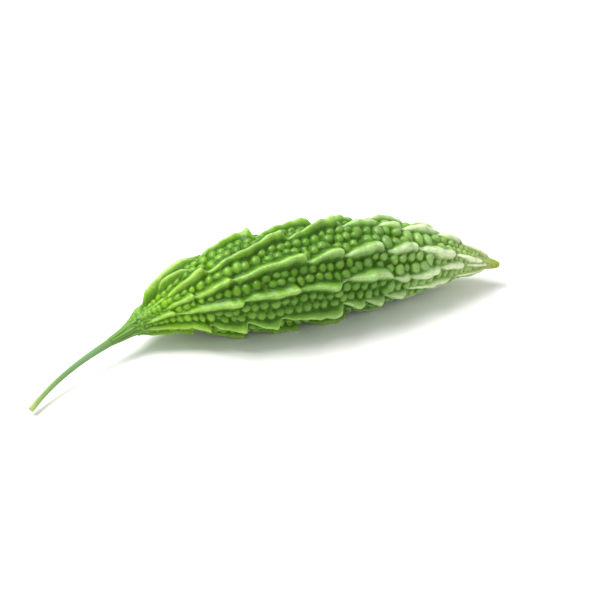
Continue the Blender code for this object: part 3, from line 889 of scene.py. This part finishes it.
# Waxy bloom: slightly uneven gloss, duller on the ridges and dull in the creases
gloss = add_node(
    tree, "ShaderNodeMapRange",
    values={"From Min": 0.3, "From Max": 0.7, "To Min": 0.28, "To Max": 0.38},
    links={"Value": cloud.outputs["Fac"]})
ridge_gloss = add_node(
    tree, "ShaderNodeMath", {"operation": "MULTIPLY_ADD"}, values={1: 0.1},
    links={0: on_ridge.outputs["Result"], 2: gloss.outputs["Result"]})
skin_gloss = add_node(
    tree, "ShaderNodeMix", {"data_type": "FLOAT"}, values={"B": 0.85},
    links={SHARE: crease.outputs["Result"], "A": ridge_gloss.outputs["Value"]})

# Skin texture finer than the warts: soft dimples, and pores drawn coarse enough to show
dimples = add_node(
    tree, "ShaderNodeTexNoise",
    values={"Scale": 1.0 / (DIMPLE_CELL * MM), "Detail": 2.0, "Roughness": 0.5},
    links={"Vector": point})
dimple_bump = add_node(
    tree, "ShaderNodeBump", values={"Strength": 0.5, "Distance": 0.7 * MM},
    links={"Height": dimples.outputs["Fac"]})
pores = add_node(
    tree, "ShaderNodeTexNoise",
    values={"Scale": 1.0 / (PORE_CELL * MM), "Detail": 3.0, "Roughness": 0.55},
    links={"Vector": point})
pore_bump = add_node(
    tree, "ShaderNodeBump", values={"Strength": 0.25, "Distance": 0.2 * MM},
    links={"Height": pores.outputs["Fac"], "Normal": dimple_bump.outputs["Normal"]})

skin_shader = add_node(
    tree, "ShaderNodeBsdfPrincipled",
    values={
        "IOR": 1.42,
        "Specular IOR Level": 0.3,
        "Subsurface Weight": 0.18,
        "Subsurface Radius": (0.6, 1.0, 0.25),
        "Subsurface Scale": MM,
        "Coat Weight": 0.2,
        "Coat Roughness": 0.3,
    },
    links={
        "Base Color": skin_colour.outputs["Color"],
        "Roughness": skin_gloss.outputs[0],
        "Normal": pore_bump.outputs["Normal"],
    })
add_node(tree, "ShaderNodeOutputMaterial", links={"Surface": skin_shader.outputs["BSDF"]})
fruit_mesh.materials.append(skin_look)

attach(fruit, "root")
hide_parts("fruit")


# Stalk: the slim five-ribbed stem that the fruit hung from, cut with a knife. It flares
# into the fruit's neck, droops towards the table and dries a little at the cut end.

# Centreline from 3 mm inside the neck to the cut: x, y, z and radius in millimetres
STALK = [
    (-103.5, -9.7, 11.7, 1.9),
    (-106.27, -11.15, 11.45, 1.95),
    (-109.5, -12.9, 11.1, 1.85),
    (-114, -15.3, 10.5, 1.7),
    (-121, -19.4, 9.5, 1.5),
    (-131, -26.2, 7.8, 1.35),
    (-141, -34.4, 5.6, 1.3),
    (-148.5, -42.0, 3.7, 1.45),
]

# Ribs round the stem, their depth as a share of its radius, and the grid of its skin
STALK_RIBS = 5
STALK_RIB_DEPTH = 0.05
STALK_RINGS = 220
STALK_AROUND = 60

stalk_line = Line(STALK)
stalk_along = np.linspace(0.0, stalk_line.length, STALK_RINGS)
stalk_angle = np.linspace(0.0, 2.0 * np.pi, STALK_AROUND, endpoint=False)
run, out = outward(stalk_line, stalk_along, stalk_angle)
ribs = 1.0 + STALK_RIB_DEPTH * np.cos(STALK_RIBS * stalk_angle)
size = stalk_line.radius(stalk_along)[:, None, None] * ribs[None, :, None]
tube = (stalk_line.centre(stalk_along)[:, None, :] + size * out + FRAME_SHIFT) * MM
stalk_mesh = grid_mesh("stalk_stem", tube, False)
from_neck = np.repeat(stalk_along[:, None] / stalk_line.length, STALK_AROUND, axis=1)
paint(stalk_mesh, "along", from_neck, False)
stalk = add_object("stalk_stem", stalk_mesh)

# Fresh vine stem: dull blue-green, slightly rough with fine fibres, yellower at the cut.
# One cell of the fibres' pattern is about 1 mm.
FIBRE_CELL = 1.11

stem_look = bpy.data.materials.new("fresh_vine_stem")
stem_look.use_nodes = True
tree = stem_look.node_tree
tree.nodes.clear()
point = add_node(tree, "ShaderNodeTexCoord").outputs["Object"]
stem_along = add_node(tree, "ShaderNodeAttribute", {"attribute_name": "along"}).outputs["Fac"]
stem_ground = add_node(tree, "ShaderNodeValToRGB", links={"Fac": stem_along}, stops=[
    (0.0, "648a48"), (0.08, "668c4a"), (0.25, "6f9660"), (0.6, "6d9156"), (0.92, "8ba558"),
    (1.0, "a8b570"),
])
fibre = add_node(
    tree, "ShaderNodeTexNoise", values={"Scale": 1.0 / (FIBRE_CELL * MM), "Detail": 3.0},
    links={"Vector": point})
fibre_bump = add_node(
    tree, "ShaderNodeBump", values={"Strength": 0.3, "Distance": 0.2 * MM},
    links={"Height": fibre.outputs["Fac"]})
stem_shader = add_node(
    tree, "ShaderNodeBsdfPrincipled",
    values={
        "Roughness": 0.5,
        "IOR": 1.45,
        "Subsurface Weight": 0.1,
        "Subsurface Radius": (0.6, 1.0, 0.3),
        "Subsurface Scale": MM,
    },
    links={"Base Color": stem_ground.outputs["Color"], "Normal": fibre_bump.outputs["Normal"]})
add_node(tree, "ShaderNodeOutputMaterial", links={"Surface": stem_shader.outputs["BSDF"]})
stalk_mesh.materials.append(stem_look)

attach(stalk, "root")
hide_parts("stalk")


# Table: a plain board with matt white paint, wide enough to fill every view. The fruit
# only lies on it, so it is part of the stage.
TABLE_HALF = 3.0

floor_mesh = bpy.data.meshes.new("floor")
corners = [(x, y, 0.0) for x, y in ((-1, -1), (1, -1), (1, 1), (-1, 1))]
floor_mesh.from_pydata([Vector(corner) * TABLE_HALF for corner in corners], [], [(0, 1, 2, 3)])
floor = add_object("floor", floor_mesh)
floor_look = bpy.data.materials.new("matt_white_board")
floor_look.use_nodes = True
floor_shader = floor_look.node_tree.nodes["Principled BSDF"]
floor_shader.inputs["Base Color"].default_value = linear("f4f4f2")
floor_shader.inputs["Roughness"].default_value = 0.8
floor_mesh.materials.append(floor_look)


# Light: a bright white room, one large soft light above the stalk end for the modelling
# and shadow, and a weak one from the front right to lift the shaded side.
SKY_STRENGTH = 0.65
AIM = Vector((0.0, 0.0, 0.02))


def soft_light(name, place, size, power):
    """A square area light that faces the middle of the fruit (metres and watts)."""
    data = bpy.data.lights.new(name, "AREA")
    data.size = size
    data.energy = power
    light = add_object(name, data)
    light.location = place
    light.rotation_euler = (AIM - light.location).to_track_quat("-Z", "Y").to_euler()


world = bpy.data.worlds.new("studio")
world.use_nodes = True
sky = world.node_tree.nodes["Background"]
sky.inputs["Color"].default_value = linear("ffffff")
sky.inputs["Strength"].default_value = SKY_STRENGTH
bpy.context.scene.world = world
soft_light("key_light", place=(-0.4, 0.22, 0.85), size=0.55, power=13.0)
soft_light("fill_light", place=(0.6, -0.7, 0.7), size=0.8, power=1.0)
bpy.context.scene.view_settings.view_transform = "Standard"
